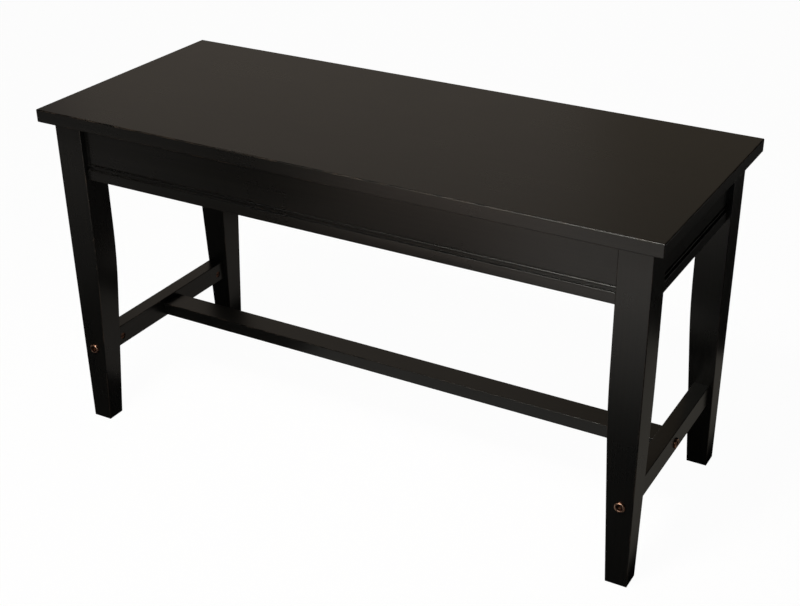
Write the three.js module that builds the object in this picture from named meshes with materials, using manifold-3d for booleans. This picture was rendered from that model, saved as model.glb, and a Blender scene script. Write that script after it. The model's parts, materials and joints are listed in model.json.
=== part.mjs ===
// Duet piano bench: a lift-up lid over a shallow music compartment, four tapered
// legs and an H of stretchers. Millimetres, +Z up, origin on the floor under the
// middle of the seat, -Y towards the front and +X towards its right-hand end.
import * as THREE from 'three';
import { mergeVertices } from 'three/addons/utils/BufferGeometryUtils.js';
import Module from 'manifold-3d';

const wasm = await Module();
wasm.setup();

// ---- Driving dimensions ----

// Lid
const lidLength = 914;
const lidWidth = 375;
const lidThickness = 18.5;
const lidEdgeRadius = 1.6;
const lidGap = 1.2;
const sideOverhang = 16.5;
const frontOverhang = 15.5;

// Legs
const legHeight = 478;
const legWidth = 44;
const footLength = 30.5;
const footDepth = 28;
const taperHeight = 262;
const taperCurve = 50;

// Aprons
const apronHeight = 80;
const apronThickness = 20;
const apronInset = 6;
const bandHeight = 15;
const bandArris = 0.8;
const bandFall = 0.3;
const grooveHeight = 4.5;
const grooveDepth = 3.2;
const beadHeight = 3.4;
const beadSetback = 0.6;
const quirkHeight = 1.2;
const quirkDepth = 3;
const fieldSetback = 2;

// Compartment floor
const floorThickness = 4;
const floorRise = 7;
const floorHousing = 7;

// Corner blocks and the bolts that draw the legs into them
const blockThickness = 22;
const blockDrop = 11;
const blockStandoff = 3;
const hangerRadius = 4;
const hangerInLeg = 30;
const hangerPastNut = 4;
const nutFlats = 13;
const nutHeight = 6.5;
const nutFlangeRadius = 9;
const nutFlangeHeight = 1.6;
const blockLift = 2;

// Stretchers
const sideStretcherThickness = 23;
const sideStretcherHeight = 31;
const sideStretcherSetback = 6;
const centreStretcherWidth = 38;
const centreStretcherThickness = 19;
const stretcherAxisHeight = 122;
const sideStretcherLift = 2.5;

// Connector bolts, barrel nuts and dowels
const boltRadius = 3;
const boltHeadRadius = 7.5;
const boltHeadHeight = 2.6;
const boltHeadBevel = 1;
const boltPastNut = 5;
const socketFlats = 4;
const socketDepth = 3.4;
const barrelRadius = 5;
const barrelTail = 6.5;
const barrelRecess = 1;
const legBarrelInset = 16;
const centreBarrelInset = 25;
const barrelSlotWidth = 1.4;
const barrelSlotDepth = 1.2;
const dowelRadius = 3;
const dowelBite = 11;
const dowelReach = 15;

// Butt hinges
const hingeLength = 64;
const hingeSpacing = 560;
const knuckleRadius = 4.5;
const leafThickness = 1.6;
const leafWidth = 15;
const hingePinRadius = 2;
const hingePinHeadRadius = 2.9;
const hingePinHeadHeight = 1;
const hingeScrewSpacing = 40;
const hingeScrewLine = 9.6;
const screwRadius = 1.6;
const screwHeadRadius = 3.2;
const screwHeadHeight = 1.5;
const screwLength = 13;
const screwTip = 2.5;
const recessLength = 3.6;
const recessWidth = 0.9;
const recessDepth = 0.9;

// Lid bumpers, which rest on the front legs
const bumperRadius = 5;

// Clearances
const jointGap = 0.3;
const drillGap = 0.2;
const boltHoleGap = 0.4;
const pinGap = 0.08;
const knuckleGap = 0.4;
const floorPlay = 0.5;
const contactGap = 0.1;
const holeWeb = 1;
const cutThrough = 1;

// Roundness of the turned pieces
const roundSteps = 20;
const smallSteps = 12;
const curveSteps = 6;

// ---- Derived sizes ----

const frameHalfLength = lidLength / 2 - sideOverhang;
const frameHalfWidth = lidWidth / 2 - frontOverhang;
const lidBottom = legHeight + lidGap;
const apronBottom = legHeight - apronHeight;
const apronBack = apronInset + apronThickness;
const apronRunX = 2 * (frameHalfLength - legWidth - jointGap);
const apronRunY = 2 * (frameHalfWidth - legWidth - jointGap);
const floorBottom = apronBottom + floorRise;
const sideStretcherAxis = sideStretcherSetback + sideStretcherThickness / 2;
const sideStretcherInner = frameHalfLength - sideStretcherSetback - sideStretcherThickness;
const sideStretcherMiddle = stretcherAxisHeight + sideStretcherLift;
const knuckleAxisY = frameHalfWidth - apronInset + knuckleRadius;
const knuckleAxisZ = lidBottom - knuckleRadius;
const legDepthAtBolt = taperedWidth(footDepth, stretcherAxisHeight);
const barrelNutY = frameHalfWidth - legDepthAtBolt - legBarrelInset;
const dowelOffset = barrelRadius + dowelRadius + 2 * drillGap + holeWeb;
const dowelHeight = stretcherAxisHeight + dowelOffset;
const legDepthAtDowel = taperedWidth(footDepth, dowelHeight);
const dowelFaceY = frameHalfWidth - legDepthAtDowel;
const blockBottom = floorBottom + floorThickness + blockLift;
const blockHeight = legHeight - blockDrop - blockBottom;
const hangerHeight = blockBottom + blockHeight / 2;
const legDiagonal = Math.SQRT2 * legWidth;
const hangerStart = legDiagonal - hangerInLeg;
const blockOuterFace = legDiagonal + blockStandoff;
const blockInnerFace = blockOuterFace + blockThickness;

// Where the hinge screws stand along the bench.
const hingeScrewPlaces = [-1, 1].flatMap((hinge) => [-1, 1].map((screw) => (
  (hinge * hingeSpacing + screw * hingeScrewSpacing) / 2
)));

// The frame's corners in turn, each a quarter turn from the one before.
const corners = [
  ['front_left', -1, -1],
  ['front_right', 1, -1],
  ['rear_right', 1, 1],
  ['rear_left', -1, 1],
];

// How wide a leg is at height z on its straight tapered part.
function taperedWidth(footWidth, z) {
  return footWidth + (legWidth - footWidth) * (z / taperHeight);
}

// ---- Solids ----

function toSolid(geometry) {
  const bare = geometry.clone();
  bare.deleteAttribute('normal');
  bare.deleteAttribute('uv');
  const merged = mergeVertices(bare, 1e-4);
  return new wasm.Manifold(new wasm.Mesh({
    numProp: 3,
    vertProperties: new Float32Array(merged.attributes.position.array),
    triVerts: new Uint32Array(merged.index.array),
  }));
}

function toGeometry(solid) {
  const mesh = solid.getMesh();
  const geometry = new THREE.BufferGeometry();
  geometry.setAttribute('position', new THREE.BufferAttribute(mesh.vertProperties, 3));
  geometry.setIndex(new THREE.BufferAttribute(mesh.triVerts, 1));
  geometry.computeVertexNormals();
  return geometry;
}

function cut(geometry, tools) {
  return toGeometry(tools.reduce((rest, tool) => rest.subtract(toSolid(tool)), toSolid(geometry)));
}

function join(geometries) {
  return toGeometry(geometries.map(toSolid).reduce((whole, solid) => whole.add(solid)));
}

function overlap(first, second) {
  return toGeometry(toSolid(first).intersect(toSolid(second)));
}

function point(x, y, z) {
  return new THREE.Vector3(x, y, z);
}

// A box from its lowest corner to its highest.
function slab(low, high) {
  const size = high.clone().sub(low);
  const middle = low.clone().add(high).multiplyScalar(0.5);
  return new THREE.BoxGeometry(size.x, size.y, size.z).translate(middle.x, middle.y, middle.z);
}

const up = point(0, 0, 1);
const towardsRear = point(0, 1, 0);
const towardsFront = point(0, -1, 0);
const towardsRight = point(1, 0, 0);

function turnTo(direction) {
  return new THREE.Quaternion().setFromUnitVectors(up, direction.clone().normalize());
}

// A round rod from one point to another.
function rod(radius, from, to, steps = roundSteps) {
  const along = to.clone().sub(from);
  const middle = from.clone().add(to).multiplyScalar(0.5);
  return new THREE.CylinderGeometry(radius, radius, along.length(), steps)
    .rotateX(Math.PI / 2)
    .applyQuaternion(turnTo(along))
    .translate(middle.x, middle.y, middle.z);
}

// A turned piece about the Z axis, from [radius, height] pairs that start and end on it.
function turned(profile, steps = roundSteps) {
  const points = profile.map(([radius, height]) => new THREE.Vector2(radius, height));
  return new THREE.LatheGeometry(points, steps).rotateX(Math.PI / 2);
}

function outline(points) {
  return new THREE.Shape(points.map(([x, y]) => new THREE.Vector2(x, y)));
}

function extrude(shape, depth) {
  return new THREE.ExtrudeGeometry(shape, { depth, bevelEnabled: false, curveSegments: curveSteps });
}

// Extrudes a (y, z) outline along X, from x = 0.
function extrudeAlongX(shape, depth) {
  const turn = new THREE.Matrix4().makeBasis(towardsRear, up, towardsRight);
  return extrude(shape, depth).applyMatrix4(turn);
}

// Extrudes an (x, z) outline along Y, from y = 0.
function extrudeAlongY(shape, depth) {
  const turn = new THREE.Matrix4().makeBasis(towardsRight, up, towardsFront);
  return extrude(shape, depth).applyMatrix4(turn).translate(0, depth, 0);
}

// ---- Finishes ----

const blackLacquer = { color: 0x1f1e1c, roughness: 0.42, metalness: 0 };
const bareWood = { color: 0xa98258, roughness: 0.75, metalness: 0 };
const floorBoard = { color: 0x8c6a48, roughness: 0.7, metalness: 0 };
const bronze = { color: 0x9a5a3c, roughness: 0.35, metalness: 0.9 };
const zincSteel = { color: 0xa8a9a6, roughness: 0.4, metalness: 0.9 };
const agedBrass = { color: 0x8a7444, roughness: 0.4, metalness: 0.9 };
const clearRubber = { color: 0x3a3a38, roughness: 0.8, metalness: 0 };

function piece(name, geometry, finish, position = point(0, 0, 0), direction = up) {
  const mesh = new THREE.Mesh(geometry, new THREE.MeshStandardMaterial(finish));
  mesh.name = name;
  mesh.position.copy(position);
  mesh.quaternion.copy(turnTo(direction));
  return mesh;
}

// ---- Legs ----

// Outline of a leg on one of its tapering sides. The outer edge is at zero and the
// inner edge is straight, curves in and then runs straight to the foot.
function legOutline(footWidth, inward) {
  const curveLow = taperHeight - taperCurve;
  const shape = new THREE.Shape();
  shape.moveTo(0, 0);
  shape.lineTo(inward * footWidth, 0);
  shape.lineTo(inward * taperedWidth(footWidth, curveLow), curveLow);
  shape.quadraticCurveTo(inward * legWidth, taperHeight, inward * legWidth, taperHeight + taperCurve);
  shape.lineTo(inward * legWidth, legHeight);
  shape.lineTo(0, legHeight);
  shape.closePath();
  return shape;
}

// A front leg, its outer front corner at the origin. inward is 1 on the left leg, whose
// inner side faces +X, and -1 on the right leg. A half turn makes the opposite rear leg.
function legGeometry(inward) {
  const sideways = extrudeAlongY(legOutline(footLength, inward), legWidth);
  const backwards = extrudeAlongX(legOutline(footDepth, 1), legWidth);
  backwards.translate(inward > 0 ? 0 : -legWidth, 0, 0);
  const axisX = inward * sideStretcherAxis;
  const boltHole = rod(
    boltRadius + boltHoleGap,
    point(axisX, -cutThrough, stretcherAxisHeight),
    point(axisX, legWidth + cutThrough, stretcherAxisHeight),
  );
  const dowelHole = rod(
    dowelRadius + drillGap,
    point(axisX, legDepthAtDowel - dowelBite - drillGap, dowelHeight),
    point(axisX, legWidth + cutThrough, dowelHeight),
    smallSteps,
  );
  const corner = point(inward * legWidth, legWidth, hangerHeight);
  const outwards = point(-inward, -1, 0).normalize();
  const hangerHole = rod(
    hangerRadius + drillGap,
    corner.clone().addScaledVector(outwards, hangerInLeg + drillGap),
    corner.clone().addScaledVector(outwards, -legWidth / 2),
    smallSteps,
  );
  return cut(overlap(sideways, backwards), [boltHole, dowelHole, hangerHole]);
}

function cornerPosition(sideX, sideY, z = 0) {
  return point(sideX * frameHalfLength, sideY * frameHalfWidth, z);
}

// ---- Aprons ----

// Section of an apron: its outer face at zero, its depth to the inner face, and the
// housing for the compartment floor. A moulded one has a band, groove and bead.
function apronOutline(moulded) {
  const housingLow = floorRise - floorPlay / 2;
  const housingHigh = floorRise + floorThickness + floorPlay / 2;
  const housingFace = apronThickness - floorHousing;
  const inner = [
    [apronThickness, apronHeight],
    [apronThickness, housingHigh],
    [housingFace, housingHigh],
    [housingFace, housingLow],
    [apronThickness, housingLow],
    [apronThickness, 0],
  ];
  if (!moulded) {
    return outline([[0, 0], [0, apronHeight], ...inner]);
  }
  const grooveTop = bandHeight + grooveHeight;
  const beadTop = grooveTop + beadHeight;
  const quirkTop = beadTop + quirkHeight;
  const bead = [];
  for (let step = 0; step <= curveSteps; step += 1) {
    const angle = (Math.PI * step) / curveSteps;
    const swell = (quirkDepth - beadSetback) * Math.sin(angle);
    bead.push([quirkDepth - swell, grooveTop + (beadHeight / 2) * (1 - Math.cos(angle))]);
  }
  return outline([
    [0, 0],
    [0, bandHeight - bandArris],
    [bandArris, bandHeight],
    [grooveDepth, bandHeight + bandFall],
    [grooveDepth, grooveTop],
    ...bead,
    [quirkDepth, quirkTop],
    [fieldSetback, quirkTop],
    [fieldSetback, apronHeight],
    ...inner,
  ]);
}

function apronGeometry(run, moulded) {
  return extrudeAlongX(apronOutline(moulded), run).translate(-run / 2, 0, 0);
}

function rearApronGeometry() {
  const height = knuckleAxisZ - hingeScrewLine - apronBottom;
  const pilots = hingeScrewPlaces.map((x) => rod(
    screwRadius + drillGap,
    point(x, -cutThrough, height),
    point(x, screwLength - leafThickness + drillGap, height),
    smallSteps,
  ));
  return cut(apronGeometry(apronRunX, false), pilots);
}

function apron(name, geometry, position, turn) {
  const mesh = piece(name, geometry, blackLacquer, position);
  mesh.rotation.z = turn;
  return mesh;
}

function aprons() {
  const outerX = frameHalfLength - apronInset;
  const outerY = frameHalfWidth - apronInset;
  const endGeometry = apronGeometry(apronRunY, true);
  return [
    apron('front_apron', apronGeometry(apronRunX, true), point(0, -outerY, apronBottom), 0),
    apron('rear_apron', rearApronGeometry(), point(0, outerY, apronBottom), Math.PI),
    apron('left_apron', endGeometry, point(-outerX, 0, apronBottom), -Math.PI / 2),
    apron('right_apron', endGeometry, point(outerX, 0, apronBottom), Math.PI / 2),
  ];
}

// ---- Compartment floor ----

function floorGeometry() {
  const edge = apronBack - floorHousing + floorPlay;
  const halfLength = frameHalfLength - edge;
  const halfWidth = frameHalfWidth - edge;
  const board = slab(point(-halfLength, -halfWidth, 0), point(halfLength, halfWidth, floorThickness));
  const notches = corners.map(([, sideX, sideY]) => {
    const notch = legWidth + floorPlay;
    const outer = cornerPosition(sideX, sideY, -cutThrough);
    const inner = point(
      sideX * (frameHalfLength - notch),
      sideY * (frameHalfWidth - notch),
      floorThickness + cutThrough,
    );
    return slab(outer.clone().min(inner), outer.clone().max(inner));
  });
  return cut(board, notches);
}

// ---- Corner hardware ----

// The glued block across an inner corner, with the frame's outer corner at the origin
// and the frame towards +X and +Y.
function cornerBlockGeometry() {
  const apronFace = apronBack + jointGap;
  const outerSum = Math.SQRT2 * blockOuterFace;
  const innerSum = Math.SQRT2 * blockInnerFace;
  const shape = outline([
    [apronFace, outerSum - apronFace],
    [outerSum - apronFace, apronFace],
    [innerSum - apronFace, apronFace],
    [apronFace, innerSum - apronFace],
  ]);
  const inwards = point(1, 1, 0).normalize();
  const middle = point(0, 0, blockHeight / 2);
  const hole = rod(
    hangerRadius + boltHoleGap,
    middle.clone().addScaledVector(inwards, blockOuterFace - cutThrough),
    middle.clone().addScaledVector(inwards, blockInnerFace + cutThrough),
  );
  return cut(extrude(shape, blockHeight), [hole]);
}

// The hanger bolt stands on +Z from its end inside the leg.
function hangerBoltGeometry() {
  const length = blockInnerFace + contactGap + nutHeight + hangerPastNut - hangerStart;
  const tipRadius = hangerRadius / 2;
  const endChamfer = hangerRadius / 4;
  return turned([
    [0, 0],
    [tipRadius, 0],
    [hangerRadius, hangerRadius],
    [hangerRadius, length - endChamfer],
    [hangerRadius - endChamfer, length],
    [0, length],
  ], smallSteps);
}

function hangerNutGeometry() {
  const hexRadius = nutFlats / Math.sqrt(3);
  const flange = rod(nutFlangeRadius, point(0, 0, 0), point(0, 0, nutFlangeHeight));
  const hex = rod(hexRadius, point(0, 0, 0), point(0, 0, nutHeight), 6);
  const bore = rod(
    hangerRadius + drillGap,
    point(0, 0, -cutThrough),
    point(0, 0, nutHeight + cutThrough),
    smallSteps,
  );
  return cut(join([flange, hex]), [bore]);
}

function cornerHardware() {
  const block = cornerBlockGeometry();
  const bolt = hangerBoltGeometry();
  const nut = hangerNutGeometry();
  const inwards = point(1, 1, 0).normalize();
  return corners.map(([name, sideX, sideY], index) => {
    const corner = new THREE.Group();
    const axis = point(0, 0, blockHeight / 2);
    corner.position.copy(cornerPosition(sideX, sideY, blockBottom));
    corner.rotation.z = (index * Math.PI) / 2;
    corner.add(
      piece(`${name}_corner_block`, block, bareWood),
      piece(`${name}_hanger_bolt`, bolt, zincSteel,
        axis.clone().addScaledVector(inwards, hangerStart), inwards),
      piece(`${name}_hanger_nut`, nut, zincSteel,
        axis.clone().addScaledVector(inwards, blockInnerFace + contactGap), inwards),
    );
    return corner;
  });
}

// ---- Stretchers ----

// A side stretcher with its ends cut to the slope of the legs, its middle at x = 0.
function sideStretcherGeometry() {
  const low = sideStretcherMiddle - sideStretcherHeight / 2;
  const high = sideStretcherMiddle + sideStretcherHeight / 2;
  const reachAt = (z) => frameHalfWidth - taperedWidth(footDepth, z) - jointGap;
  const bar = extrudeAlongX(outline([
    [-reachAt(low), low],
    [reachAt(low), low],
    [reachAt(high), high],
    [-reachAt(high), high],
  ]), sideStretcherThickness).translate(-sideStretcherThickness / 2, 0, 0);
  const half = sideStretcherThickness / 2;
  const tools = [];
  for (const end of [-1, 1]) {
    const nutY = end * barrelNutY;
    const outside = end * frameHalfWidth;
    tools.push(
      rod(
        boltRadius + boltHoleGap,
        point(0, outside, stretcherAxisHeight),
        point(0, nutY - end * (boltPastNut + boltHoleGap), stretcherAxisHeight),
      ),
      rod(
        barrelRadius + drillGap,
        point(-barrelTail - drillGap, nutY, stretcherAxisHeight),
        point(half + cutThrough, nutY, stretcherAxisHeight),
      ),
      rod(
        dowelRadius + drillGap,
        point(0, outside, dowelHeight),
        point(0, end * (dowelFaceY - dowelReach - drillGap), dowelHeight),
        smallSteps,
      ),
    );
  }
  tools.push(
    rod(
      boltRadius + boltHoleGap,
      point(-half - cutThrough, 0, stretcherAxisHeight),
      point(half + cutThrough, 0, stretcherAxisHeight),
    ),
    rod(
      dowelRadius + drillGap,
      point(half - dowelBite - drillGap, dowelOffset, stretcherAxisHeight),
      point(half + cutThrough, dowelOffset, stretcherAxisHeight),
      smallSteps,
    ),
  );
  return cut(bar, tools);
}

// The flat board between the side stretchers. It is the same after a half turn.
function centreStretcherGeometry() {
  const half = sideStretcherInner - jointGap;
  const halfWidth = centreStretcherWidth / 2;
  const halfThickness = centreStretcherThickness / 2;
  const board = slab(point(-half, -halfWidth, -halfThickness), point(half, halfWidth, halfThickness));
  const tools = [];
  for (const end of [-1, 1]) {
    const nutX = end * (sideStretcherInner - centreBarrelInset);
    tools.push(
      rod(
        boltRadius + boltHoleGap,
        point(end * (half + cutThrough), 0, 0),
        point(nutX - end * (boltPastNut + boltHoleGap), 0, 0),
      ),
      rod(
        barrelRadius + drillGap,
        point(nutX, 0, -halfThickness - cutThrough),
        point(nutX, 0, barrelTail + drillGap),
      ),
      rod(
        dowelRadius + drillGap,
        point(end * (half + cutThrough), -end * dowelOffset, 0),
        point(end * (sideStretcherInner - dowelReach - drillGap), -end * dowelOffset, 0),
        smallSteps,
      ),
    );
  }
  return cut(board, tools);
}

// ---- Connector bolts, barrel nuts and dowels ----

// The bolt's shank runs along +Z from the face that its head sits on.
function boltGeometry(length) {
  const headBottom = -contactGap;
  const headTop = headBottom - boltHeadHeight;
  const body = turned([
    [0, headTop],
    [boltHeadRadius - boltHeadBevel, headTop],
    [boltHeadRadius, headTop + boltHeadBevel],
    [boltHeadRadius, headBottom],
    [boltRadius, headBottom],
    [boltRadius, length],
    [0, length],
  ]);
  const socket = rod(
    socketFlats / Math.sqrt(3),
    point(0, 0, headTop - cutThrough),
    point(0, 0, headTop + socketDepth),
    6,
  );
  return cut(body, [socket]);
}

// The nut lies along +Z and the bolt crosses it on X at z = 0. Its slotted end faces up,
// a little below the face of the stretcher that it is let into.
function barrelNutGeometry(stretcherThickness) {
  const top = stretcherThickness / 2 - barrelRecess;
  const body = rod(barrelRadius, point(0, 0, -barrelTail), point(0, 0, top));
  const bore = rod(
    boltRadius + drillGap,
    point(-barrelRadius - cutThrough, 0, 0),
    point(barrelRadius + cutThrough, 0, 0),
    smallSteps,
  );
  const slot = slab(
    point(-barrelRadius - cutThrough, -barrelSlotWidth / 2, top - barrelSlotDepth),
    point(barrelRadius + cutThrough, barrelSlotWidth / 2, top + cutThrough),
  );
  return cut(body, [bore, slot]);
}

function dowelGeometry() {
  const length = dowelBite + dowelReach;
  const nose = dowelRadius / 3;
  return turned([
    [0, 0],
    [dowelRadius - nose, 0],
    [dowelRadius, nose],
    [dowelRadius, length - nose],
    [dowelRadius - nose, length],
    [0, length],
  ], smallSteps);
}

// Turns a barrel nut so that its open end and its bore face the given ways.
function barrelNut(name, geometry, position, openEnd, bore) {
  const mesh = piece(name, geometry, bronze, position);
  const across = openEnd.clone().cross(bore);
  mesh.quaternion.setFromRotationMatrix(new THREE.Matrix4().makeBasis(bore, across, openEnd));
  return mesh;
}

// One end of the bench, modelled on the left: two legs, their stretcher and its fixings.
// names holds the words for this end's front and rear corners and for the end itself.
function endFrame(names, shared) {
  const end = new THREE.Group();
  const axisX = sideStretcherAxis - frameHalfLength;
  const sides = [[names.near, -1, towardsRear], [names.far, 1, towardsFront]];
  sides.forEach(([corner, side, inwards]) => {
    const leg = piece(`${corner}_leg`, side < 0 ? shared.leftLeg : shared.rightLeg, blackLacquer,
      cornerPosition(-1, side));
    leg.rotation.z = side < 0 ? 0 : Math.PI;
    const dowelStart = side * (dowelFaceY + dowelBite);
    end.add(
      leg,
      piece(`${corner}_leg_bolt`, shared.legBolt, bronze,
        point(axisX, side * frameHalfWidth, stretcherAxisHeight), inwards),
      barrelNut(`${corner}_barrel_nut`, shared.sideBarrelNut,
        point(axisX, side * barrelNutY, stretcherAxisHeight), towardsRight, inwards),
      piece(`${corner}_dowel`, shared.dowel, bareWood,
        point(axisX, dowelStart, dowelHeight), inwards),
    );
  });
  const innerX = -sideStretcherInner;
  end.add(
    piece(`${names.end}_side_stretcher`, shared.sideStretcher, blackLacquer, point(axisX, 0, 0)),
    piece(`${names.end}_stretcher_bolt`, shared.stretcherBolt, bronze,
      point(innerX - sideStretcherThickness, 0, stretcherAxisHeight), towardsRight),
    barrelNut(`${names.end}_stretcher_barrel_nut`, shared.centreBarrelNut,
      point(innerX + centreBarrelInset, 0, stretcherAxisHeight), up.clone().negate(), towardsRight),
    piece(`${names.end}_stretcher_dowel`, shared.dowel, bareWood,
      point(innerX - dowelBite, dowelOffset, stretcherAxisHeight), towardsRight),
  );
  return end;
}

// ---- Lid ----

function lidGeometry() {
  const halfLength = lidLength / 2;
  const halfWidth = lidWidth / 2;
  const shape = outline([
    [-halfLength, -halfWidth],
    [halfLength, -halfWidth],
    [halfLength, halfWidth],
    [-halfLength, halfWidth],
  ]);
  const board = new THREE.ExtrudeGeometry(shape, {
    depth: lidThickness - 2 * lidEdgeRadius,
    bevelThickness: lidEdgeRadius,
    bevelSize: lidEdgeRadius,
    bevelOffset: -lidEdgeRadius,
    bevelSegments: 2,
  }).translate(0, 0, lidEdgeRadius);
  const screwY = knuckleAxisY + hingeScrewLine;
  const pilots = hingeScrewPlaces.map((x) => rod(
    screwRadius + drillGap,
    point(x, screwY, -cutThrough),
    point(x, screwY, screwLength - leafThickness + drillGap),
    smallSteps,
  ));
  return cut(board, pilots);
}

// ---- Hinges ----

// Spans of the three knuckles along the pin: the frame's at the ends, the lid's between.
const hingeEnd = hingeLength / 2;
const middleKnuckleEnd = hingeLength / 6 - knuckleGap / 2;
const outerKnuckleStart = hingeLength / 6 + knuckleGap / 2;
const outerKnuckles = [[-hingeEnd, -outerKnuckleStart], [outerKnuckleStart, hingeEnd]];
const middleKnuckles = [[-middleKnuckleEnd, middleKnuckleEnd]];

// A leaf with its knuckles about the X axis, its plate hanging towards -Z with its seat
// facing -Y. own lists the knuckle spans of this leaf, and others those of its partner.
function leafGeometry(own, others) {
  const seat = -knuckleRadius;
  const plate = slab(point(-hingeEnd, seat, -leafWidth), point(hingeEnd, seat + leafThickness, 0));
  const clearances = others.map(([from, to]) => rod(
    knuckleRadius + knuckleGap,
    point(from - knuckleGap, 0, 0),
    point(to + knuckleGap, 0, 0),
  ));
  const knuckles = own.map(([from, to]) => rod(
    knuckleRadius,
    point(from, 0, 0),
    point(to, 0, 0),
  ));
  const bore = rod(
    hingePinRadius + pinGap,
    point(-hingeEnd - cutThrough, 0, 0),
    point(hingeEnd + cutThrough, 0, 0),
  );
  const screwHoles = [-1, 1].map((side) => turned([
    [0, -cutThrough],
    [screwRadius + drillGap, -cutThrough],
    [screwRadius + drillGap, leafThickness - screwHeadHeight],
    [screwHeadRadius + drillGap, leafThickness],
    [screwHeadRadius + drillGap, leafThickness + cutThrough],
    [0, leafThickness + cutThrough],
  ], smallSteps).rotateX(-Math.PI / 2).translate((side * hingeScrewSpacing) / 2, seat, -hingeScrewLine));
  return cut(join([cut(plate, clearances), ...knuckles]), [bore, ...screwHoles]);
}

function hingePinGeometry() {
  const headStart = hingeEnd + contactGap;
  const headEnd = headStart + hingePinHeadHeight;
  return turned([
    [0, -headEnd],
    [hingePinHeadRadius, -headEnd],
    [hingePinHeadRadius, -headStart],
    [hingePinRadius, -headStart],
    [hingePinRadius, headStart],
    [hingePinHeadRadius, headStart],
    [hingePinHeadRadius, headEnd],
    [0, headEnd],
  ]);
}

// A countersunk screw on +Z, its flat head at z = 0 and its point below.
function screwGeometry() {
  const body = turned([
    [0, -screwLength],
    [screwRadius, screwTip - screwLength],
    [screwRadius, -screwHeadHeight],
    [screwHeadRadius, 0],
    [0, 0],
  ], smallSteps);
  const arm = (lengthX, lengthY) => slab(
    point(-lengthX / 2, -lengthY / 2, -recessDepth),
    point(lengthX / 2, lengthY / 2, cutThrough),
  );
  return cut(body, [join([arm(recessLength, recessWidth), arm(recessWidth, recessLength)])]);
}

// The frame's leaf, pin and screws go to frame. The lid's leaf and screws are the same
// turned up under the lid, and go to lid.
function addHinge(frame, lid, name, side, shared) {
  const axis = point((side * hingeSpacing) / 2, knuckleAxisY, knuckleAxisZ);
  const frameHalf = new THREE.Group();
  frameHalf.position.copy(axis);
  frameHalf.add(piece(`${name}_hinge_frame_leaf`, shared.frameLeaf, agedBrass));
  frameHalf.add(piece(`${name}_hinge_pin`, shared.hingePin, agedBrass, point(0, 0, 0), towardsRight));
  const lidHalf = new THREE.Group();
  lidHalf.position.copy(axis);
  lidHalf.rotation.set(Math.PI / 2, 0, Math.PI);
  lidHalf.add(piece(`${name}_hinge_lid_leaf`, shared.lidLeaf, agedBrass));
  const head = leafThickness - knuckleRadius;
  for (const [word, screwSide] of [['left', -1], ['right', 1]]) {
    const x = (screwSide * hingeScrewSpacing) / 2;
    frameHalf.add(piece(`${name}_hinge_frame_screw_${word}`, shared.screw, zincSteel,
      point(x, head, -hingeScrewLine), towardsRear));
    lidHalf.add(piece(`${name}_hinge_lid_screw_${word}`, shared.screw, zincSteel,
      point(-x, head, -hingeScrewLine), towardsRear));
  }
  frame.add(frameHalf);
  lid.add(lidHalf);
}

function bumperGeometry() {
  return turned([
    [0, contactGap],
    [bumperRadius, contactGap],
    [bumperRadius, lidGap - contactGap],
    [0, lidGap - contactGap],
  ]);
}

// ---- Whole bench ----

function bench() {
  const whole = new THREE.Group();
  const frame = new THREE.Group();
  const lid = new THREE.Group();
  const shared = {
    leftLeg: legGeometry(1),
    rightLeg: legGeometry(-1),
    sideStretcher: sideStretcherGeometry(),
    legBolt: boltGeometry(legDepthAtBolt + legBarrelInset + boltPastNut),
    stretcherBolt: boltGeometry(sideStretcherThickness + centreBarrelInset + boltPastNut),
    sideBarrelNut: barrelNutGeometry(sideStretcherThickness),
    centreBarrelNut: barrelNutGeometry(centreStretcherThickness),
    dowel: dowelGeometry(),
    frameLeaf: leafGeometry(outerKnuckles, middleKnuckles),
    lidLeaf: leafGeometry(middleKnuckles, outerKnuckles),
    hingePin: hingePinGeometry(),
    screw: screwGeometry(),
  };
  const leftEnd = endFrame({ near: 'front_left', far: 'rear_left', end: 'left' }, shared);
  const rightEnd = endFrame({ near: 'rear_right', far: 'front_right', end: 'right' }, shared);
  rightEnd.rotation.z = Math.PI;
  frame.add(leftEnd, rightEnd, ...aprons(), ...cornerHardware());
  frame.add(piece('compartment_floor', floorGeometry(), floorBoard, point(0, 0, floorBottom)));
  frame.add(piece('centre_stretcher', centreStretcherGeometry(), blackLacquer,
    point(0, 0, stretcherAxisHeight)));
  lid.add(piece('lid', lidGeometry(), blackLacquer, point(0, 0, lidBottom)));
  const bumperX = frameHalfLength - legWidth / 2;
  const bumperY = legWidth / 2 - frameHalfWidth;
  for (const [name, side] of [['left', -1], ['right', 1]]) {
    addHinge(frame, lid, name, side, shared);
    lid.add(piece(`${name}_lid_bumper`, bumperGeometry(), clearRubber,
      point(side * bumperX, bumperY, legHeight)));
  }
  whole.add(frame, lid);
  return whole;
}

export default bench();
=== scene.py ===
import json
from math import pi, radians

import bmesh
import bpy
from mathutils import Matrix, Vector

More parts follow.
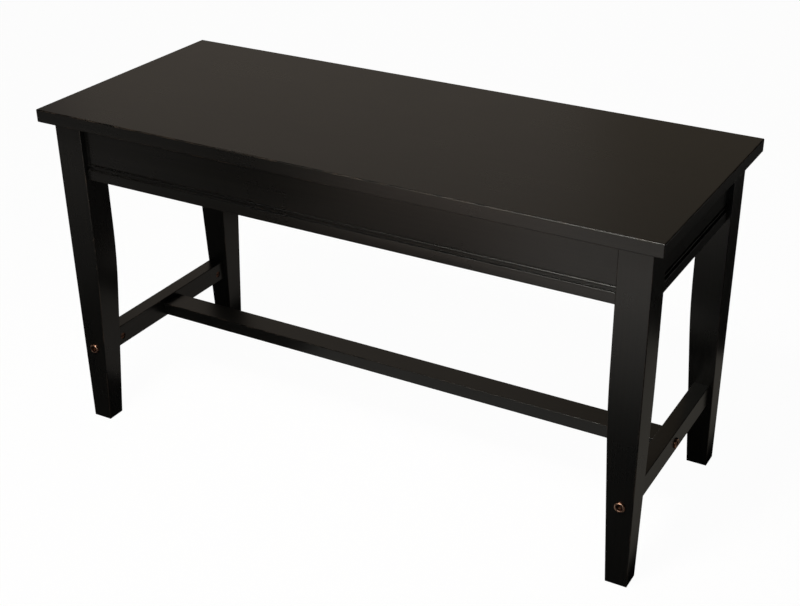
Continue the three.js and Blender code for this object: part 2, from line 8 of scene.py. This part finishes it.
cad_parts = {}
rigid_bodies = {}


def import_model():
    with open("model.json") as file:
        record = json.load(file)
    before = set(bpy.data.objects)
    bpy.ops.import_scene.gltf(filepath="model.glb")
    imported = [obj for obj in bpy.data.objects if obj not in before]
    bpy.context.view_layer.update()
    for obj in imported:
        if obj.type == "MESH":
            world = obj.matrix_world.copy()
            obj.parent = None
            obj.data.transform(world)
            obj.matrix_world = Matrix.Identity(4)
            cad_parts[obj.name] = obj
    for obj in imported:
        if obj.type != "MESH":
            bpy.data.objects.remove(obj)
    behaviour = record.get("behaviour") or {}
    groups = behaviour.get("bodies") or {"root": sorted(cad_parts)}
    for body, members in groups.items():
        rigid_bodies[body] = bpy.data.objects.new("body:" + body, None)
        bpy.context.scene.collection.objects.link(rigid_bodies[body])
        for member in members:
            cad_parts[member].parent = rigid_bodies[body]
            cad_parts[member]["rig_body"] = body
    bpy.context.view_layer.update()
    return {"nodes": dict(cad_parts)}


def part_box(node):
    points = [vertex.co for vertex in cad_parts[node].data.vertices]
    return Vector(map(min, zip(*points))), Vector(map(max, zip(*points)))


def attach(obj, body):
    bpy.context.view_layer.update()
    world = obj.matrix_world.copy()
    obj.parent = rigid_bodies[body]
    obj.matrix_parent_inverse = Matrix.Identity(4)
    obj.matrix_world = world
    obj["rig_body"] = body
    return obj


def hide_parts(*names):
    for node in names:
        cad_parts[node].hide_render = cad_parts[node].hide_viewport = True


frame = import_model()

MM = 0.001
CORNERS = ("front_left", "front_right", "rear_right", "rear_left")
ENDS = ("left", "right")
X, Y, Z = Vector((1, 0, 0)), Vector((0, 1, 0)), Vector((0, 0, 1))

# Uneven on purpose, so that no two faces tie
FACE_ORDER = Vector((1.0, 0.6180339, 0.3247179))

# Arrises
MERGE = 0.002 * MM
SAME_PLANE = radians(0.05)
SHARP = radians(50)
LEG_ARRIS = 1.1 * MM
FOOT_ARRIS = 1.6 * MM
STRETCHER_ARRIS = 0.9 * MM
MOULDING_ARRIS = 0.25 * MM
BOARD_ARRIS = 0.4 * MM
METAL_ARRIS = 0.2 * MM
LID_ARRIS = 1.6 * MM

# Edges long enough to be eased
LEG_EDGE = 8 * MM
BLOCK_EDGE = 10 * MM
RAIL_EDGE = 100 * MM

# Connector bolts, with heights below the crest of the head's rim
BOLT_STEPS = 48
RIM_CREST = 5.5 * MM
RIM_WORN_FROM = 4.6 * MM
RIM_WORN_TO = 7.0 * MM
HEAD_SIDE_TOP = 1.7 * MM
HEAD_SIDE_WORN = 2.0 * MM
HEAD_SIDE_FOOT = 2.45 * MM
HEAD_UNDERSIDE = 2.6 * MM
SHANK_RADIUS = 3.0 * MM
SHANK_CHAMFER = 0.6 * MM
SOCKET_LAND = 3.3 * MM
SOCKET_LAND_FALL = 0.75 * MM
SOCKET_RADIUS = 2.9 * MM
SOCKET_MOUTH_FALL = 0.85 * MM
SOCKET_DEPTH = 1.6 * MM
SOCKET_POINT = 0.9 * MM
SOCKET_DARK_FROM = 2.4 * MM

# Colours shared by several layers of a finish
FLOOR_GLOW = 0.97
LACQUER_DEEP = (0.0028, 0.0030, 0.0032, 1)
LACQUER_THIN = (0.0068, 0.0062, 0.0056, 1)
LACQUER_HAZE = (0.0070, 0.0066, 0.0062, 1)
WOOD_AT_ARRIS = (0.060, 0.042, 0.030, 1)
# Painted shade for the dish round a bolt's socket and for nuts deep in their holes
HOLE_SHADE_COLOUR = (0.030, 0.016, 0.014, 1)
WOOD_PALE = (0.46, 0.30, 0.16, 1)
WOOD_BROWN = (0.30, 0.17, 0.08, 1)

# Studio
CARD_HEIGHT = 0.003
SEAT = (0, 0, 0.45)


# ---- Node materials ----

class Finish:
    """A material under way, with short names for the nodes that it is made of."""

    def __init__(self, name):
        self.material = bpy.data.materials.new(name)
        self.material.use_nodes = True
        self.tree = self.material.node_tree
        self.shader = self.tree.nodes["Principled BSDF"]

    def node(self, kind, inputs=(), **settings):
        made = self.tree.nodes.new("ShaderNode" + kind)
        for key, value in settings.items():
            setattr(made, key, value)
        for socket, value in dict(inputs).items():
            self.feed(made.inputs[socket], value)
        return made

    def feed(self, socket, value):
        if isinstance(value, bpy.types.NodeSocket):
            self.tree.links.new(value, socket)
        else:
            socket.default_value = value

    def place(self, scale=(1, 1, 1), attribute=None, turn=(0, 0, 0)):
        """Coordinates on the piece, stretched by scale. attribute names the piece's own."""
        if attribute:
            source = self.node("Attribute", attribute_name=attribute).outputs["Vector"]
        else:
            source = self.node("TexCoord").outputs["Object"]
        mapping = self.node("Mapping", {"Vector": source, "Scale": scale, "Rotation": turn})
        return mapping.outputs["Vector"]

    def noise(self, place, scale, detail=3.0, roughness=0.5):
        made = self.node("TexNoise", {
            "Vector": place, "Scale": scale, "Detail": detail, "Roughness": roughness,
        })
        return made.outputs["Fac"]

    def spread(self, value, low, high, to_low=0.0, to_high=1.0):
        made = self.node("MapRange", {
            "Value": value, "From Min": low, "From Max": high, "To Min": to_low, "To Max": to_high,
        })
        return made.outputs["Result"]

    def blend(self, share, first, second):
        made = self.node("Mix", data_type="RGBA")
        for socket, value in ((0, share), (6, first), (7, second)):
            self.feed(made.inputs[socket], value)
        return made.outputs[2]

    def sum(self, *values):
        total = values[0]
        for value in values[1:]:
            total = self.node("Math", {0: total, 1: value}, operation="ADD").outputs[0]
        return total

    def times(self, value, factor):
        return self.node("Math", {0: value, 1: factor}, operation="MULTIPLY").outputs[0]

    def relief(self, height, depth, below=None):
        made = self.node("Bump", {"Height": height, "Distance": depth})
        if below is not None:
            self.feed(made.inputs["Normal"], below)
        return made.outputs["Normal"]

    def mark(self, name):
        """The strength of a mark that the piece's own faces carry."""
        return self.node("Attribute", attribute_name=name).outputs["Fac"]

    def wear(self, place, scale, least, most):
        """How far the finish is rubbed, along the arrises only."""
        patches = self.spread(self.noise(place, scale, 4.0, 0.6), least, most)
        return self.times(self.mark("arris"), patches)

    def set(self, **values):
        for name, value in values.items():
            self.feed(self.shader.inputs[name.replace("_", " ")], value)
        return self.material


def along(axis, length, width):
    """A scale that draws a pattern out along one axis."""
    return tuple(1 / length if number == axis else 1 / width for number in range(3))


def lacquer(name, axis):
    """Satin black lacquer over fine-grained wood whose grain runs along an axis."""
    finish = Finish(name)
    place = finish.place()
    streaks = finish.noise(finish.place(along(axis, 0.30, 0.0022)), 1.0, 3.0, 0.5)
    fibres = finish.noise(finish.place(along(axis, 0.03, 0.00045)), 1.0, 3.0, 0.6)
    peel = finish.noise(place, 420.0, 2.0, 0.4)
    clouds = finish.noise(place, 7.0, 4.0, 0.55)
    handled = finish.noise(place, 34.0, 5.0, 0.7)
    colour = finish.blend(finish.spread(streaks, 0.35, 0.75), LACQUER_DEEP, LACQUER_THIN)
    haze = finish.times(finish.spread(clouds, 0.3, 0.8), 0.35)
    colour = finish.blend(haze, colour, LACQUER_HAZE)
    rubbed = finish.wear(place, 55.0, 0.42, 0.85)
    colour = finish.blend(finish.times(rubbed, 0.75), colour, WOOD_AT_ARRIS)
    roughness = finish.sum(
        finish.spread(clouds, 0.3, 0.75, 0.265, 0.295),
        finish.spread(streaks, 0.3, 0.8, 0.0, 0.004),
        finish.spread(handled, 0.55, 0.8, 0.0, 0.010),
        finish.times(rubbed, 0.12),
    )
    normal = finish.relief(peel, 0.008 * MM)
    normal = finish.relief(streaks, 0.008 * MM, normal)
    normal = finish.relief(fibres, 0.002 * MM, normal)
    return finish.set(Base_Color=colour, Roughness=roughness, Normal=normal)


def bare_wood(name, axis, light, dark, turn=(0, 0, 0)):
    """Planed wood with rings, fibres and pores along an axis."""
    finish = Finish(name)
    stretched = finish.place(along(axis, 0.22, 0.012), turn=turn)
    rings = finish.noise(stretched, 1.0, 4.0, 0.55)
    bands = finish.node("Math", {0: finish.times(rings, 42.0)}, operation="SINE").outputs[0]
    fibres = finish.noise(finish.place(along(axis, 0.02, 0.0004), turn=turn), 1.0, 4.0, 0.65)
    pores = finish.noise(finish.place(along(axis, 0.006, 0.0003), turn=turn), 1.0, 2.0, 0.5)
    colour = finish.blend(finish.spread(bands, -1.0, 1.0, 0.0, 0.55), light, dark)
    colour = finish.blend(finish.times(finish.spread(fibres, 0.4, 0.8), 0.5), colour, dark)
    specks = tuple(0.45 * channel for channel in dark[:3]) + (1,)
    colour = finish.blend(finish.times(finish.spread(pores, 0.62, 0.72), 0.6), colour, specks)
    roughness = finish.spread(fibres, 0.3, 0.8, 0.58, 0.78)
    normal = finish.relief(fibres, 0.05 * MM)
    normal = finish.relief(pores, -0.04 * MM, normal)
    return finish.set(Base_Color=colour, Roughness=roughness, Normal=normal)


def turned_metal(name, bright, dull, worn, smoothest, roughest):
    """Plated or bare metal with the fine rings of turning and a little tarnish, and painted shade
    on faces marked as sitting in a hole.
    """
    finish = Finish(name)
    place = finish.place()
    lathe = finish.place(attribute="lathe")
    rings = finish.node("TexWave", {
        "Vector": lathe, "Scale": 420.0, "Distortion": 1.5, "Detail": 2.0, "Detail Scale": 2.0,
    }, wave_type="RINGS", rings_direction="Z").outputs["Fac"]
    tarnish = finish.noise(place, 260.0, 4.0, 0.65)
    scuffs = finish.noise(place, 1400.0, 2.0, 0.5)
    colour = finish.blend(finish.spread(tarnish, 0.38, 0.72), bright, dull)
    rubbed = finish.wear(place, 500.0, 0.1, 0.45)
    colour = finish.blend(rubbed, colour, worn)
    # Painted shade, darkest on faces marked as sitting in a hole
    colour = finish.blend(finish.times(finish.mark("painted_shade"), 0.8), colour, HOLE_SHADE_COLOUR)
    roughness = finish.sum(
        finish.spread(tarnish, 0.35, 0.75, smoothest, roughest),
        finish.times(scuffs, 0.06),
    )
    normal = finish.relief(rings, 0.006 * MM)
    normal = finish.relief(tarnish, 0.008 * MM, normal)
    return finish.set(Base_Color=colour, Roughness=roughness, Normal=normal, Metallic=1.0)


def rubber(name):
    """Grey rubber with a fine haze."""
    finish = Finish(name)
    haze = finish.noise(finish.place(), 900.0, 3.0, 0.6)
    colour = finish.blend(haze, (0.030, 0.030, 0.029, 1), (0.085, 0.084, 0.080, 1))
    roughness = finish.spread(haze, 0.3, 0.7, 0.5, 0.7)
    normal = finish.relief(haze, 0.02 * MM)
    return finish.set(Base_Color=colour, Roughness=roughness, Normal=normal)


# ---- Shaping ----

def merged_copy(node):
    """The CAD node's shape as whole flat faces, ready to be worked."""
    bm = bmesh.new()
    bm.from_mesh(frame["nodes"][node].data)
    bmesh.ops.remove_doubles(bm, verts=bm.verts, dist=MERGE)
    bmesh.ops.dissolve_limit(bm, angle_limit=SAME_PLANE, verts=bm.verts, edges=bm.edges)
    return bm


def ease(bm, width, chosen=None, segments=2):
    """Rounds the sharp edges that chosen picks, and marks the new faces as arrises."""
    mark = bm.faces.layers.float.get("arris") or bm.faces.layers.float.new("arris")
    edges = [
        edge for edge in bm.edges
        if edge.is_manifold and edge.calc_face_angle() > SHARP and (chosen is None or chosen(edge))
    ]
    made = bmesh.ops.bevel(
        bm, geom=edges, offset=width, offset_type="OFFSET", segments=segments, profile=0.5,
        affect="EDGES", clamp_overlap=True, material=-1,
    )
    for face in made["faces"]:
        face[mark] = 1.0


def long_edge(least):
    return lambda edge: edge.calc_length() > least


def direction(edge):
    return (edge.verts[1].co - edge.verts[0].co).normalized()


def upright(edge):
    return abs(direction(edge).z) > 0.9 and edge.calc_length() > LEG_EDGE


def at_foot(edge):
    return max(vert.co.z for vert in edge.verts) < 0.1 * MM and edge.calc_length() > LEG_EDGE


def settle(bm):
    """Puts the faces in an order that is the same on every run, whatever the bevel left."""
    bm.faces.sort(key=lambda face: face.calc_center_median().dot(FACE_ORDER))


def finish_piece(bm, name, node, material, smooth=40):
    """Makes the shape a piece that stands for the CAD node and rides with it."""
    settle(bm)
    mesh = bpy.data.meshes.new(name)
    bm.to_mesh(mesh)
    bm.free()
    mesh.materials.append(material)
    mesh.shade_smooth()
    mesh.set_sharp_from_angle(angle=radians(smooth))
    piece = bpy.data.objects.new(name, mesh)
    bpy.context.scene.collection.objects.link(piece)
    even = piece.modifiers.new("even shading", "WEIGHTED_NORMAL")
    even.keep_sharp = True
    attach(piece, frame["nodes"][node]["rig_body"])
    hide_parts(node)


def dress(node, material):
    """Gives a CAD node that keeps its own shape its finish."""
    frame["nodes"][node].data.materials[0] = material


# ---- Legs, aprons and stretchers ----

def make_legs(black):
    for corner in CORNERS:
        bm = merged_copy(f"{corner}_leg")
        ease(bm, FOOT_ARRIS, at_foot)
        ease(bm, LEG_ARRIS, upright, segments=3)
        ease(bm, BOARD_ARRIS, long_edge(LEG_EDGE))
        finish_piece(bm, f"{corner}_leg_lacquered", f"{corner}_leg", black[2])


def make_aprons(black):
    for side, axis in (("front", 0), ("rear", 0), ("left", 1), ("right", 1)):
        bm = merged_copy(f"{side}_apron")
        ease(bm, MOULDING_ARRIS, long_edge(RAIL_EDGE))
        finish_piece(bm, f"{side}_apron_lacquered", f"{side}_apron", black[axis])


def make_stretchers(black):
    for name, axis in (("left_side", 1), ("right_side", 1), ("centre", 0)):
        bm = merged_copy(f"{name}_stretcher")
        ease(bm, STRETCHER_ARRIS, long_edge(RAIL_EDGE), segments=3)
        finish_piece(
            bm, f"{name}_stretcher_lacquered", f"{name}_stretcher", black[axis]
        )


# ---- Lid ----

def make_lid(lengthwise_black):
    low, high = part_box("lid")
    bm = bmesh.new()
    bmesh.ops.create_cube(bm, size=1.0)
    bmesh.ops.scale(bm, vec=high - low, verts=bm.verts)
    bmesh.ops.translate(bm, vec=(low + high) / 2, verts=bm.verts)
    ease(bm, LID_ARRIS, segments=5)
    finish_piece(bm, "lid_lacquered", "lid", lengthwise_black)


# ---- Fixings ----

def revolve(outline, steps):
    """Turns an outline of (radius, height) points about the Z axis."""
    bm = bmesh.new()
    verts = [bm.verts.new((radius, 0, height)) for radius, height in outline]
    edges = [bm.edges.new(pair) for pair in zip(verts, verts[1:])]
    bmesh.ops.spin(
        bm, geom=verts + edges, cent=(0, 0, 0), axis=Z, angle=2 * pi, steps=steps, use_merge=True
    )
    bmesh.ops.remove_doubles(bm, verts=bm.verts, dist=MERGE)
    bmesh.ops.recalc_face_normals(bm, faces=bm.faces)
    return bm


def keep_lathe_place(bm):
    """Stores each point's place on the lathe before the piece goes to its own place."""
    layer = bm.verts.layers.float_vector.new("lathe")
    for vert in bm.verts:
        vert[layer] = vert.co


def paint_hole_shade(bm):
    """Marks every face of a piece that sits at the bottom of its hole for painted shade."""
    painted_shade = bm.faces.layers.float.new("painted_shade")
    for face in bm.faces:
        face[painted_shade] = 0.75


def cut_socket(bm):
    """Closes the head with a six-sided socket that ends in a shallow point."""
    mouth = [edge for edge in bm.edges if edge.is_boundary]
    hexagon = bmesh.ops.create_circle(bm, segments=6, radius=SOCKET_RADIUS)["verts"]
    bmesh.ops.translate(bm, vec=-SOCKET_MOUTH_FALL * Z, verts=hexagon)
    rim = list(dict.fromkeys(edge for vert in hexagon for edge in vert.link_edges))
    bmesh.ops.bridge_loops(bm, edges=mouth + rim)
    walls = bmesh.ops.extrude_edge_only(bm, edges=rim)["geom"]
    bottom = [part for part in walls if isinstance(part, bmesh.types.BMVert)]
    bmesh.ops.translate(bm, vec=-SOCKET_DEPTH * Z, verts=bottom)
    ring = [edge for edge in bm.edges if edge.is_boundary]
    floor = bmesh.ops.contextual_create(bm, geom=ring)["faces"]
    bmesh.ops.poke(bm, faces=floor, offset=-SOCKET_POINT)
    bmesh.ops.recalc_face_normals(bm, faces=bm.faces)


def mark_head(bm):
    """Marks the rim's crest as worn, and the dish and socket walls round the socket's point for
    painted shade.
    """
    worn, painted_shade = (bm.faces.layers.float.new(name) for name in ("arris", "painted_shade"))
    for face in bm.faces:
        place = face.calc_center_median()
        reach, fall = place.xy.length, -place.z
        on_rim = RIM_WORN_FROM < reach < RIM_WORN_TO and fall < HEAD_SIDE_WORN
        # The dish and the socket's walls are marked for painted shade
        in_dish = SOCKET_DARK_FROM < reach < RIM_WORN_FROM and fall < HEAD_UNDERSIDE
        face[worn] = 1.0 if on_rim else 0.0
        face[painted_shade] = 1.0 if in_dish else 0.0


def make_bolt(node, outwards, bronze):
    """A connector bolt: a dished head with a rounded rim, a socket and a plain shank."""
    low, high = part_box(node)
    centre = (low + high) / 2
    head = Vector(
        (high if outwards[axis] > 0 else low)[axis] if outwards[axis] else centre[axis]
        for axis in range(3)
    )
    length = max(high - low)
    radius = min(high - low) / 2
    bm = revolve([
        (SOCKET_LAND, -SOCKET_LAND_FALL),
        (4.3 * MM, -0.60 * MM),
        (4.9 * MM, -0.18 * MM),
        (RIM_CREST, 0.0),
        (6.2 * MM, -0.10 * MM),
        (6.8 * MM, -0.45 * MM),
        (7.25 * MM, -1.05 * MM),
        (radius, -HEAD_SIDE_TOP),
        (radius, -HEAD_SIDE_FOOT),
        (radius - 0.2 * MM, -HEAD_UNDERSIDE),
        (SHANK_RADIUS, -HEAD_UNDERSIDE),
        (SHANK_RADIUS, SHANK_CHAMFER - length),
        (SHANK_RADIUS - SHANK_CHAMFER, -length),
        (0.0, -length),
    ], BOLT_STEPS)
    cut_socket(bm)
    mark_head(bm)
    keep_lathe_place(bm)
    turn = Z.rotation_difference(outwards).to_matrix().to_4x4()
    bmesh.ops.transform(bm, matrix=Matrix.Translation(head) @ turn, verts=bm.verts)
    finish_piece(bm, f"{node}_turned", node, bronze, smooth=35)


def make_bolts(bronze):
    for corner in CORNERS:
        make_bolt(f"{corner}_leg_bolt", -Y if "front" in corner else Y, bronze)
    for end in ENDS:
        make_bolt(f"{end}_stretcher_bolt", -X if end == "left" else X, bronze)


def make_metalwork(bronze, zinc, brass):
    """Nuts, hanger bolts, hinges and screws, each with its edges broken; the barrel nuts get
    painted shade all over.
    """
    barrel_nuts = [
        f"{name}_barrel_nut" for name in (*CORNERS, "left_stretcher", "right_stretcher")
    ]
    hangers = [
        f"{corner}_{kind}" for corner in CORNERS for kind in ("hanger_bolt", "hanger_nut")
    ]
    screws = [
        f"{end}_hinge_{part}_screw_{side}"
        for end in ENDS for part in ("frame", "lid") for side in ENDS
    ]
    hinges = [
        f"{end}_hinge_{kind}" for end in ENDS for kind in ("frame_leaf", "lid_leaf", "pin")
    ]
    for nodes, slot, material in (
        (barrel_nuts, "bronze", bronze),
        (hangers + screws, "zinc_steel", zinc),
        (hinges, "aged_brass", brass),
    ):
        for node in nodes:
            bm = merged_copy(node)
            ease(bm, METAL_ARRIS)
            # The barrel nuts sit at the bottom of their holes, so they get painted shade all over
            if nodes is barrel_nuts:
                paint_hole_shade(bm)
            keep_lathe_place(bm)
            finish_piece(bm, f"{node}_finished", node, material)


def make_inside():
    """Corner blocks, the compartment floor, dowels and the lid's bumpers."""
    falling, rising = (
        bare_wood(f"planed hardwood {name}", 0, WOOD_PALE, WOOD_BROWN, (0, 0, radians(turn)))
        for name, turn in (("falling", 45), ("rising", -45))
    )
    board = bare_wood("floor board", 0, (0.36, 0.22, 0.12, 1), (0.22, 0.12, 0.06, 1))
    lengthwise, crosswise = (
        bare_wood(f"beech dowel {name}", axis, WOOD_PALE, WOOD_BROWN)
        for axis, name in enumerate(("lengthwise", "crosswise"))
    )
    for corner, wood in zip(CORNERS, (falling, rising) * 2):
        node = f"{corner}_corner_block"
        bm = merged_copy(node)
        ease(bm, BOARD_ARRIS, long_edge(BLOCK_EDGE))
        finish_piece(bm, f"{node}_planed", node, wood)
    bm = merged_copy("compartment_floor")
    ease(bm, BOARD_ARRIS, long_edge(BLOCK_EDGE))
    finish_piece(bm, "compartment_floor_board", "compartment_floor", board)
    bumper = rubber("grey rubber")
    for corner in CORNERS:
        dress(f"{corner}_dowel", crosswise)
    for end in ENDS:
        dress(f"{end}_stretcher_dowel", lengthwise)
        dress(f"{end}_lid_bumper", bumper)


# ---- Studio ----

def add_camera():
    data = bpy.data.cameras.new("camera")
    data.sensor_width = 36
    data.lens = 61.516
    data.shift_x = -0.0638
    data.shift_y = 0.0358
    camera = bpy.data.objects.new("camera", data)
    camera.location = (0.88622, -1.50566, 1.13385)
    camera.rotation_euler = [radians(angle) for angle in (61.3287, -0.3254, 27.9917)]
    bpy.context.scene.collection.objects.link(camera)
    bpy.context.scene.camera = camera


def add_floor():
    bm = bmesh.new()
    bmesh.ops.create_circle(bm, cap_ends=True, radius=30.0, segments=96)
    mesh = bpy.data.meshes.new("floor")
    bm.to_mesh(mesh)
    bm.free()
    finish = Finish("pale floor")
    specks = finish.noise(finish.place(), 60.0, 4.0, 0.6)
    colour = finish.blend(specks, (0.035, 0.035, 0.035, 1), (0.05, 0.05, 0.05, 1))
    finish.set(Base_Color=colour, Roughness=0.9, Specular_IOR_Level=0.0)
    seen = finish.node("LightPath").outputs["Is Camera Ray"]
    finish.set(Emission_Color=(1.0, 1.0, 1.0, 1), Emission_Strength=finish.times(seen, FLOOR_GLOW))
    mesh.materials.append(finish.material)
    floor = bpy.data.objects.new("floor", mesh)
    bpy.context.scene.collection.objects.link(floor)


def add_light(name, place, size, power, colour, spread=180, aim=SEAT):
    """A soft rectangular light that the camera doesn't see."""
    data = bpy.data.lights.new(name, "AREA")
    data.shape = "RECTANGLE"
    data.size, data.size_y = size
    data.energy = power
    data.color = colour
    data.spread = radians(spread)
    light = bpy.data.objects.new(name, data)
    light.location = place
    light.visible_camera = False
    light.rotation_euler = (Vector(aim) - Vector(place)).to_track_quat("-Z", "Y").to_euler()
    bpy.context.scene.collection.objects.link(light)


def add_card(name, place, size, power, colour):
    """A pale glowing card on the floor, which the polished faces above it reflect."""
    x, y = place
    add_light(name, (x, y, CARD_HEIGHT), size, power, colour, aim=(x, y, 1.0))


def add_world():
    """White behind the bench to the camera alone, so that it adds no light."""
    world = bpy.data.worlds.new("studio")
    world.use_nodes = True
    nodes, links = world.node_tree.nodes, world.node_tree.links
    background = nodes["Background"]
    background.inputs["Color"].default_value = (1.0, 1.0, 1.0, 1)
    seen = nodes.new("ShaderNodeLightPath").outputs["Is Camera Ray"]
    links.new(seen, background.inputs["Strength"])
    bpy.context.scene.world = world


def add_lights():
    add_light("wall", (-1.18, 2.52, 1.57), (3.0, 1.8), 2.8, (1.0, 0.84, 0.63))
    add_light("left wall", (-1.97, 1.97, 1.57), (3.0, 1.8), 1.5, (1.0, 0.93, 0.93))
    add_light("window", (0, -2.85, 1.23), (1.6, 1.6), 18, (0.95, 1.0, 0.92))
    add_light("front", (-0.6, -2.2, 1.5), (0.8, 0.8), 7.0, (1.0, 0.92, 0.78))
    add_light("overhead", (-0.05, -1.1, 2.15), (0.5, 0.5), 4.5, (1.0, 0.96, 0.90), 70)
    add_light("ceiling", (0, 0.7, 3.0), (2.4, 1.4), 2.5, (1.0, 0.97, 0.93))
    add_light("front right", (2.0, -2.0, 1.25), (2.2, 0.9), 1.0, (1.0, 0.97, 0.93))
    add_card("far left card", (-1.3, -1.05), (0.7, 0.5), 0.22, (1.0, 0.93, 0.86))
    add_card("front left card", (-0.4, -1.4), (0.5, 0.5), 1.35, (1.0, 0.82, 0.70))
    add_card("front middle card", (0.1, -1.12), (0.5, 0.5), 0.85, (1.0, 0.93, 0.86))
    add_card("front right card", (0.6, -1.05), (0.5, 0.3), 0.25, (0.85, 0.95, 1.0))
    add_card("left leg card", (-1.0, -0.62), (0.5, 0.55), 0.06, (1.0, 0.95, 0.88))
    add_card("right leg card", (0.2, -0.74), (0.35, 0.2), 0.08, (1.0, 0.98, 0.92))
    add_card("end card", (0.58, 0.11), (0.24, 0.72), 0.075, (1.0, 0.93, 0.80))
    add_card("inner card", (-0.2, 0.22), (0.3, 0.6), 0.10, (1.0, 0.92, 0.82))
    add_card("middle strip", (0.04, -0.2), (0.6, 0.12), 0.105, (1.0, 0.97, 0.9))
    add_card("rear card", (-0.4, 1.9), (1.6, 1.7), 7.0, (1.0, 0.96, 0.90))
    add_card("rear right card", (1.7, 1.45), (1.1, 0.9), 2.2, (1.0, 0.96, 0.90))
    add_card("left card", (-2.2, 0.1), (1.8, 1.6), 5.5, (1.0, 0.96, 0.90))
    add_card("right card", (2.5, -0.2), (1.6, 1.6), 4.5, (1.0, 0.96, 0.90))


# ---- Whole bench ----

add_camera()
add_floor()
add_world()
add_lights()

black = [
    lacquer(f"black lacquer {name}", axis)
    for axis, name in enumerate(("lengthwise", "crosswise", "upright"))
]
bronze = turned_metal(
    "bronzed steel", (0.44, 0.21, 0.13, 1), (0.14, 0.060, 0.040, 1), (0.78, 0.48, 0.36, 1),
    0.22, 0.38,
)
zinc = turned_metal(
    "zinc-plated steel", (0.60, 0.60, 0.58, 1), (0.34, 0.34, 0.33, 1), (0.72, 0.72, 0.70, 1),
    0.28, 0.5,
)
brass = turned_metal(
    "aged brass", (0.52, 0.38, 0.17, 1), (0.22, 0.15, 0.07, 1), (0.70, 0.54, 0.28, 1),
    0.28, 0.5,
)

make_legs(black)
make_aprons(black)
make_stretchers(black)
make_lid(black[0])
make_bolts(bronze)
make_metalwork(bronze, zinc, brass)
make_inside()

bpy.context.scene.view_settings.view_transform = "Standard"
